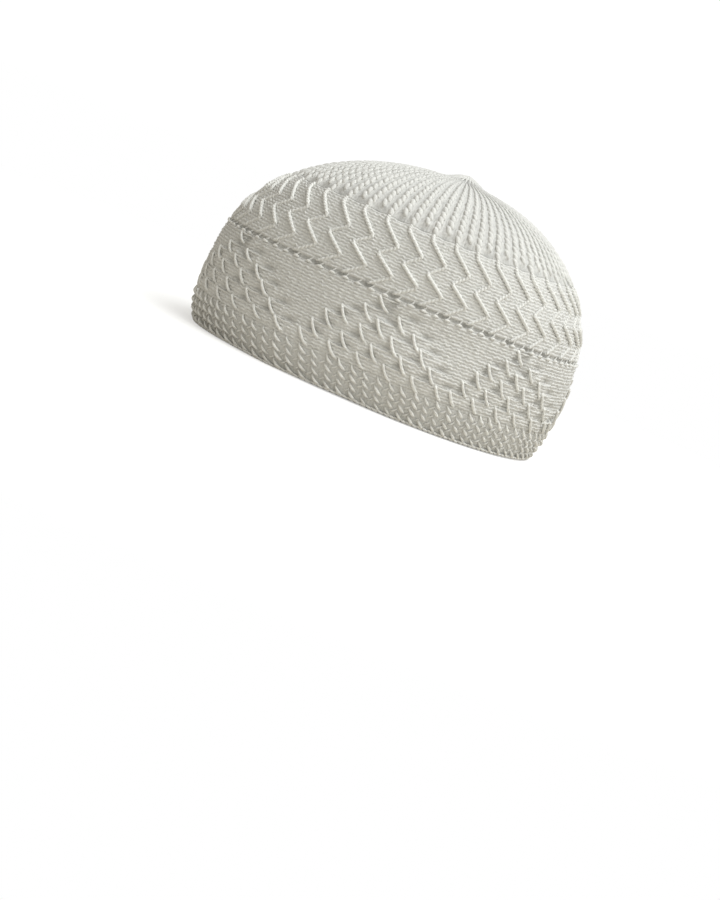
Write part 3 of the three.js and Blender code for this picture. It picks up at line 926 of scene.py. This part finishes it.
def ridge_line():
    """The groove, the loops along its lower edge, and a thin yarn over it between two holes."""
    along, bow = bowed(LOOP_STEPS)
    middle = WALES_PER_RIB * np.arange(WALES // WALES_PER_RIB)[:, None] + WALES_PER_RIB / 2
    middle = middle + uneven(LOOP_PLAY["wales"], middle.shape)
    size = uneven(LOOP_PLAY["size"], middle.shape, centre=LOOP_SIZE)
    loop_wale = middle + LOOP["half_wales"] * along * size
    loop_up = LOOP["up"] + LOOP["arch"] * bow + uneven(LOOP_PLAY["up"], middle.shape)
    loop_radius = LOOP["radius"] * from_least(LOOP["end"], bow)
    loop = yarn_tubes(loop_wale, loop_up, LOOP["bow"] * bow * size, loop_radius)
    bridge_wale = middle + BRIDGE["half_wales"] * along
    bridge_up = BRIDGE["up"] + BRIDGE["half_up"] * along + 0 * middle
    bridge_out = BRIDGE["base"] + BRIDGE["bow"] * bow * size
    bridge = yarn_tubes(bridge_wale, bridge_up, bridge_out, BRIDGE["radius"], sides=6)
    return make_piece("ridge_line", *join(ridge_cloth(), loop, bridge), yarn_material, flat_edges=True)


ridge_line()

# %% [markdown]
# A zigzag rope is a line of stitches that travels over the purl cloth, to one side and then to the other.
# Where it leans forwards on its way up it lies high and round, and where it leans back it is half sunk.
# One smooth tube would look like wire. Two plies are wound round each rope's path, so that the light
# breaks on it as on a cord.

# %% The path of a zigzag rope
ROPE_BENDS = [
    {"up": 0.0, "shift": 0.0},
    {"up": 0.21, "shift": 2.95},
    {"up": 0.44, "shift": -0.55},
    {"up": 0.62, "shift": 1.8},
    {"up": 0.9, "shift": -1.75},
    {"up": 1.0, "shift": -2.0},
]
ROPE_RUN_LIFTS = [0.1, 0.75, 0.1, 0.75, 0.5]
# A bend is eased over this share of the band, and a change of lift over this many steps
BEND_EASE = 0.018
LIFT_EASE = 5


def rope_path(up):
    """Shift in wales and lift along the rope: straight runs between bends, eased a little at each bend."""
    ups = [bend["up"] for bend in ROPE_BENDS]
    shifts = [bend["shift"] for bend in ROPE_BENDS]
    shift = sum(np.interp(up + step, ups, shifts) for step in (-BEND_EASE, 0, BEND_EASE)) / 3
    run = np.clip(np.searchsorted(ups, up, side="right") - 1, 0, len(ROPE_RUN_LIFTS) - 1)
    lift = np.pad(np.array(ROPE_RUN_LIFTS)[run], LIFT_EASE // 2, mode="edge")
    return shift, np.convolve(lift, np.ones(LIFT_EASE) / LIFT_EASE, mode="valid")


# %% The cloth of the zigzag band
# Pockets between the tops of the ropes: how far they reach, and how far their middle is over the edge
POCKET = {"half_wales": 1.0, "half_mm": 1.5, "over_edge_mm": 0.9, "depth": 1.4}
ROPE_FOOT_HOLLOW = {"half_wales": 0.8, "half_mm": 1.2}
CROWN_EDGE_OUT = -0.12


def pocket_depth(wale, up):
    """The pockets between the rope tops, on both sides of the crown's edge."""
    first = ROPE_FOOT_WALE + ROPE_BENDS[-1]["shift"] + WALES_PER_ROPE / 2
    across = wales_from(wale, first, WALES_PER_ROPE) / POCKET["half_wales"]
    over_edge = (up - 4.0) * np.where(up < 4.0, BAND_LENGTHS[3], BAND_LENGTHS[4])
    return POCKET["depth"] * bell(across, (over_edge - POCKET["over_edge_mm"]) / POCKET["half_mm"])


def zigzag_cloth():
    """Purl cloth under the ropes, with the lower halves of the pockets along its top."""
    wale, up, rise = purl_grid(ZIGZAG_COURSES, 3.0, 4.0)
    rise -= pocket_depth(wale, up)
    across = wales_from(wale, ROPE_FOOT_WALE, WALES_PER_ROPE) / ROPE_FOOT_HOLLOW["half_wales"]
    above = (up - 3.0) * BAND_LENGTHS[3] / ROPE_FOOT_HOLLOW["half_mm"]
    rise -= ROPE_HOLE_DEPTH * bell(across, above)
    rise[0] = -PURL_RISE
    rise[-1] += PURL_RISE + CROWN_EDGE_OUT
    part = cloth_ring(wale, up, rise, lining_rows=8)
    return make_piece("zigzag_cloth", *part, cloth_material, flat_edges=True)


zigzag_cloth()

# %% The zigzag ropes
ROPE_STEPS = 73
ROPE_TURNS = 14
ROPE_PLY_RADIUS = 0.7
ROPE_TWIST_RADIUS = 0.42
ROPE_END = 0.5
ROPE_PLAY_WALES = 0.1
# A rope starts a little under the band's lower edge and ends at its top. A wale is this wide, in mm, here
ROPE_FOOT_UP = 2.99
ROPE_REACH = 1.01
ROPE_WALE_MM = 2.9


def zigzag_ropes():
    """Two plies for each rope, opposite each other on a small helix round the rope's path."""
    up = np.linspace(0, 1, ROPE_STEPS)
    shift, lift = rope_path(up)
    foot = ROPE_FOOT_WALE + WALES_PER_ROPE * np.arange(WALES // WALES_PER_ROPE)[:, None]
    foot = foot + uneven(ROPE_PLAY_WALES, foot.shape)
    height = ROPE_FOOT_UP + ROPE_REACH * up + 0 * foot
    radius = ROPE_PLY_RADIUS * thin_ends(ROPE_STEPS, ROPE_END)
    parts = []
    for ply in range(2):
        turn = 2 * np.pi * (ROPE_TURNS * up + ply / 2)
        wale = foot + shift + ROPE_TWIST_RADIUS * np.cos(turn) / ROPE_WALE_MM
        out = lift + ROPE_TWIST_RADIUS * np.sin(turn) + 0 * foot
        parts.append(yarn_tubes(wale, height, out, radius, sides=6, flatten=1.0))
    return make_piece("zigzag_ropes", *join(*parts), yarn_material)


zigzag_ropes()

# %% [markdown]
# The crown is ribbed. Every second wale stands up as a chain of plump stitches that lean the same way,
# and the wales between sink into the shade. The ribs keep their number up to the middle, so they crowd
# together. Their thickness follows from how far apart they are, and so they shrink by themselves.

# %% The cloth of the crown
CROWN_ROWS = 66
CROWN_END = 4.985
RIB_RISE = 0.25
CROWN_STEP_BACK = 0.3
CROWN_LOOSENESS = 0.22
RIBS_BEGIN_MM = 2.0
# Ribs that are this far apart, in mm, have their full relief
FULL_PITCH = 5.0
FOLDS = 28
FOLD_RELIEF = {"rise": 0.5, "up": 4.93, "half_up": 0.06}


def rib_pitch(wale, up):
    """How far apart two ribs are at a place, in millimetres."""
    ahead, _ = cloth(wale + 1, up)
    behind, _ = cloth(wale - 1, up)
    return np.linalg.norm(ahead - behind, axis=-1)


def crown_cloth():
    """The cloth under the ribs: a cosine across the wales that fades into radial folds near the knot."""
    wale, up = face_grid(np.linspace(4.0, CROWN_END, CROWN_ROWS))
    wide = np.clip(rib_pitch(wale, up) / FULL_PITCH, 0, 1)
    ribs = RIB_RISE * np.cos(2 * np.pi * wale / WALES_PER_RIB) * wide
    near_knot = bell((up - FOLD_RELIEF["up"]) / FOLD_RELIEF["half_up"])
    folds = FOLD_RELIEF["rise"] * np.cos(2 * np.pi * FOLDS * wale / WALES) * near_knot
    settle = np.clip((up - 4.0) * BAND_LENGTHS[4] / RIBS_BEGIN_MM, 0, 1)
    looseness = rng.normal(0, CROWN_LOOSENESS, up.shape) * wide * settle
    out = CROWN_EDGE_OUT + (ribs - CROWN_STEP_BACK - CROWN_EDGE_OUT) * settle + folds + looseness
    out -= pocket_depth(wale, up)
    part = cloth_ring(wale, up, out, lining_rows=14, closed_top=True)
    return make_piece("crown_cloth", *part, crown_material, flat_edges=True)


crown_cloth()

# %% The rib stitches of the crown
RIB_STITCH_ROWS = 23
RIB_STITCH_ROWS_SHOWN = 21
LEG_STEPS = 7
LEG_PLAY = {"wales": 0.08, "rows": 0.05, "size": 0.06}
# Places in wales and rows, and the bow in mm, of which narrow ribs keep at least a share
LEG = {"first_row": 0.62, "half_wales": 0.36, "half_rows": 0.64, "base": -0.3, "bow": 0.45, "kept": 0.45}
# The radius is a share of the ribs' pitch with a most in mm, and is thinner at the ends
LEG_THICKNESS = {"share": 0.24, "most": 1.2, "end": 0.6, "flatten": 0.72}
NARROWEST = 0.12


def rib_stitches(name, first_row, last_row):
    """The plump leg of each rib stitch, which leans back on its way down and hides the other leg."""
    rows = np.arange(first_row, last_row)
    row, rib = np.meshgrid(rows, np.arange(WALES // WALES_PER_RIB), indexing="ij")
    over_pocket = (WALES_PER_RIB * rib - ROPE_FOOT_WALE) % WALES_PER_ROPE == 0
    shown = (row > 0) | ~over_pocket
    row, rib = row[shown][:, None], rib[shown][:, None]
    along, bow = bowed(LEG_STEPS)
    middle = WALES_PER_RIB * rib + uneven(LEG_PLAY["wales"], rib.shape)
    up = 4.0 + (row + LEG["first_row"] + uneven(LEG_PLAY["rows"], rib.shape)) / RIB_STITCH_ROWS
    pitch = rib_pitch(middle, up)
    size = uneven(LEG_PLAY["size"], rib.shape, centre=1.0)
    narrow = np.clip(pitch / FULL_PITCH, NARROWEST, 1)

    leg_wale = middle + LEG["half_wales"] * along
    leg_up = up - LEG["half_rows"] / RIB_STITCH_ROWS * along * size
    leg_out = LEG["base"] + LEG["bow"] * bow * from_least(LEG["kept"], narrow) * size
    radius = np.minimum(LEG_THICKNESS["most"], LEG_THICKNESS["share"] * pitch)
    radius = radius * from_least(LEG_THICKNESS["end"], bow) * size
    legs = yarn_tubes(leg_wale, leg_up, leg_out, radius, flatten=LEG_THICKNESS["flatten"])
    return make_piece(name, *legs, crown_material)


middle_row = RIB_STITCH_ROWS_SHOWN // 2
rib_stitches("crown_ribs_lower", 0, middle_row)
rib_stitches("crown_ribs_upper", middle_row, RIB_STITCH_ROWS_SHOWN)

# %% [markdown]
# The last of the crown is drawn up into a small knot with radial folds. It stands against the light
# above the outline, so its folds are real yarns. They start thin between the ribs, swell as they climb,
# and are thin again where they meet in the middle, so that nothing crowds there.

# %% The folds of the gathered knot
# From the foot of a fold to its tip: wales it turns, its height on the cloth, its lift and its thickness
FOLD_STEPS = 12
FOLD_PATH = {"turn_wales": 0.8, "foot_up": 4.87, "reach_up": 0.128}
FOLD_LIFT = {"foot": -0.4, "rise": 0.9, "curl": 0.4}
FOLD_RADIUS = {"end": 0.36, "swell": 0.38}


def knot_folds():
    """Short yarns that rise out of the ribs, run up the knot and meet in its middle, thin at both ends."""
    along = np.linspace(0, 1, FOLD_STEPS)
    wale = WALES / FOLDS * np.arange(FOLDS)[:, None] + FOLD_PATH["turn_wales"] * along
    up = FOLD_PATH["foot_up"] + FOLD_PATH["reach_up"] * along + 0 * wale
    lift = FOLD_LIFT["foot"] + FOLD_LIFT["rise"] * along + FOLD_LIFT["curl"] * along**2
    radius = FOLD_RADIUS["end"] + FOLD_RADIUS["swell"] * np.sin(np.pi * along)
    part = yarn_tubes(wale, up, lift + 0 * wale, radius, sides=6)
    return make_piece("knot_folds", *part, crown_material)


knot_folds()

# %% [markdown]
# The cap rests on a white floor that runs on without an edge. A plain floor would show a horizon and turn
# grey with distance. This one takes the cap's soft shadow close by and fades into a white glow further
# out. What the camera sees and what lights the cap are kept apart, so the white doesn't flatten the knit.


# %% The floor
def camera_only(tree, seen, lit):
    """A mix of two shaders: the first is what the camera sees, the second is what lights the scene."""
    path = tree.nodes.new("ShaderNodeLightPath")
    mix = {0: path.outputs["Is Camera Ray"], 1: lit, 2: seen}
    return add_node(tree, "ShaderNodeMixShader", mix).outputs[0]


FLOOR_SIZE = 6.0
FLOOR_SURFACE = {"Base Color": (0.85, 0.85, 0.85, 1), "Roughness": 0.9}
FLOOR_GLOW = 0.45
FLOOR_BOUNCE = (0.58, 0.54, 0.47, 1)
SHADOW_REACH = 0.2
FADE_REACH = 0.5


def make_floor():
    """A white floor: it takes the cap's soft shadow near the cap, and glows plain white far from it."""
    corners = np.array([[-1, -1], [1, -1], [1, 1], [-1, 1]]) * FLOOR_SIZE / 2
    mesh = bpy.data.meshes.new("floor")
    mesh.from_pydata([(x, y, 0.0) for x, y in corners], [], [(0, 1, 2, 3)])
    material = bpy.data.materials.new("white floor")
    material.use_nodes = True
    tree = material.node_tree
    shader = fill_inputs(tree, tree.nodes["Principled BSDF"], FLOOR_SURFACE)
    glow = add_node(tree, "ShaderNodeEmission", {"Strength": FLOOR_GLOW})
    near = add_node(tree, "ShaderNodeAddShader", {0: shader.outputs[0], 1: glow.outputs[0]})
    white = tree.nodes.new("ShaderNodeEmission")
    place_node = tree.nodes.new("ShaderNodeTexCoord")
    distance = tree.nodes.new("ShaderNodeVectorMath")
    distance.operation = "LENGTH"
    fill_inputs(tree, distance, {0: place_node.outputs["Object"]})
    reach = {"Value": distance.outputs["Value"], "From Min": SHADOW_REACH, "From Max": FADE_REACH}
    fade = add_node(tree, "ShaderNodeMapRange", reach)
    both = {0: fade.outputs[0], 1: near.outputs[0], 2: white.outputs[0]}
    seen = add_node(tree, "ShaderNodeMixShader", both)
    bounce = add_node(tree, "ShaderNodeBsdfDiffuse", {"Color": FLOOR_BOUNCE})
    surface = camera_only(tree, seen.outputs[0], bounce.outputs[0])
    fill_inputs(tree, tree.nodes["Material Output"], {"Surface": surface})
    mesh.materials.append(material)
    floor = add_object("floor", mesh)
    print("floor side in m:", FLOOR_SIZE)


make_floor()

# %% [markdown]
# White knitting shows only by its shade. A large soft light stands over the back of the crown, a weaker
# one on the wearer's left picks out the strands, and a pale fill from all round keeps the shade open.

# %% Lights and world
WORLD_SEEN = {"Color": (1, 1, 1, 1), "Strength": 1.05}
WORLD_FILL = {"Color": (1.0, 0.97, 0.9, 1), "Strength": 0.42}
LIGHT_COLOUR = (0.95, 0.985, 1.0)
CAP_MIDDLE = Vector((0, 0, 0.06))
LIGHTS = [
    {"name": "key light", "towards": (0.22, 0.38, 0.86), "distance": 1.1, "size": 0.9, "watts": 9.3},
    {"name": "side light", "towards": (0.9, 0.35, 0.25), "distance": 1.1, "size": 0.8, "watts": 1.7},
]


def make_world():
    """White all round for the camera, and a dimmer fill for the light on the cap."""
    world = bpy.data.worlds.new("studio")
    bpy.context.scene.world = world
    world.use_nodes = True
    tree = world.node_tree
    seen = fill_inputs(tree, tree.nodes["Background"], WORLD_SEEN)
    lit = add_node(tree, "ShaderNodeBackground", WORLD_FILL)
    surface = camera_only(tree, seen.outputs[0], lit.outputs[0])
    fill_inputs(tree, tree.nodes["World Output"], {"Surface": surface})


def make_area_light(name, towards, distance, size, watts):
    """A square soft light that looks at the middle of the cap from a direction."""
    light = bpy.data.lights.new(name, "AREA")
    light.size = size
    light.energy = watts
    light.color = LIGHT_COLOUR
    way = Vector(towards).normalized()
    lamp = add_object(name, light)
    lamp.location = CAP_MIDDLE + way * distance
    lamp.rotation_euler = way.to_track_quat("Z", "Y").to_euler()
    print(name, "at", [round(v, 2) for v in lamp.location])


make_world()
for light in LIGHTS:
    make_area_light(**light)

# %% [markdown]
# The camera sees the cap from the wearer's left, a little above the rim, and turned, because the cap is
# shown tipped back. Turning the camera and not the cap keeps every piece in the frame of the solid.

# %% The camera at the photo's angle
CAMERA_ELEVATION = math.radians(8.4)
CAMERA_ROLL = math.radians(22.85)
CAMERA_DISTANCE = 0.928
AIM_BACK = 0.01132
AIM_DOWN = 0.0291
PICTURE_HEIGHT = 900
SENSOR = 36.0
PIXELS_PER_METRE = 1985.0


def make_camera():
    """Looks from the wearer's left, raised by the elevation and turned by the roll."""
    right = Vector((0, 1, 0))
    up = Vector((-math.sin(CAMERA_ELEVATION), 0, math.cos(CAMERA_ELEVATION)))
    towards = Vector((math.cos(CAMERA_ELEVATION), 0, math.sin(CAMERA_ELEVATION)))
    picture_right = right * math.cos(CAMERA_ROLL) + up * math.sin(CAMERA_ROLL)
    picture_up = up * math.cos(CAMERA_ROLL) - right * math.sin(CAMERA_ROLL)
    camera_data = bpy.data.cameras.new("camera")
    camera_data.sensor_fit = "VERTICAL"
    camera_data.sensor_height = SENSOR
    camera_data.lens = SENSOR * PIXELS_PER_METRE * CAMERA_DISTANCE / PICTURE_HEIGHT
    turn = Matrix((picture_right, picture_up, towards)).transposed().to_4x4()
    spot = right * AIM_BACK - up * AIM_DOWN + towards * CAMERA_DISTANCE
    camera = add_object("camera", camera_data)
    camera.matrix_world = Matrix.Translation(spot) @ turn
    bpy.context.scene.camera = camera
    print("camera at", [round(v, 3) for v in spot], "lens", round(camera_data.lens, 1))


make_camera()
bpy.context.scene.view_settings.view_transform = "Standard"
